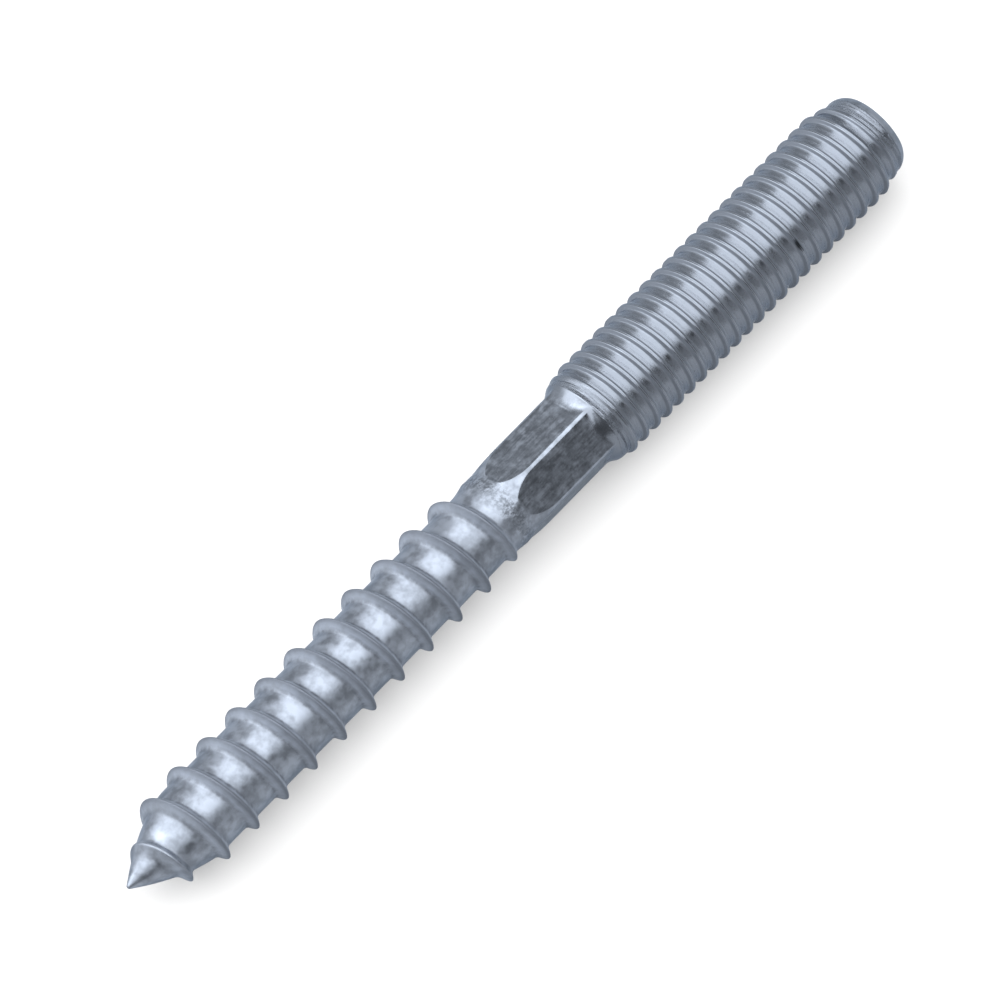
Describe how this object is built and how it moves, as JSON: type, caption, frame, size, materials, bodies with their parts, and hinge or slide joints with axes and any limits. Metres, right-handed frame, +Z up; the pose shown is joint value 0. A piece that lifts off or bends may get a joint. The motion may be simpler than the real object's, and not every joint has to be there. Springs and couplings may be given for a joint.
{
  "type": "hanger bolt",
  "caption": "Double-ended fixing rod with a coarse wood screw point, a short hexagonal shank and a machine thread with a lobed socket in its end.",
  "frame": {"origin": "on the surface the bolt lies on, under the middle of its length and under its axis", "axes": "+X along the bolt from the wood screw point towards the socket end of the machine thread, +Z up"},
  "size_m": [0.0794, 0.008, 0.0079],
  "materials": {
    "zinc_steel": "blue-white zinc plating over cold-formed steel, satin, slightly mottled"
  },
  "bodies": {
    "root": {"hanger_bolt": "zinc_steel"}
  },
  "joints": []
}
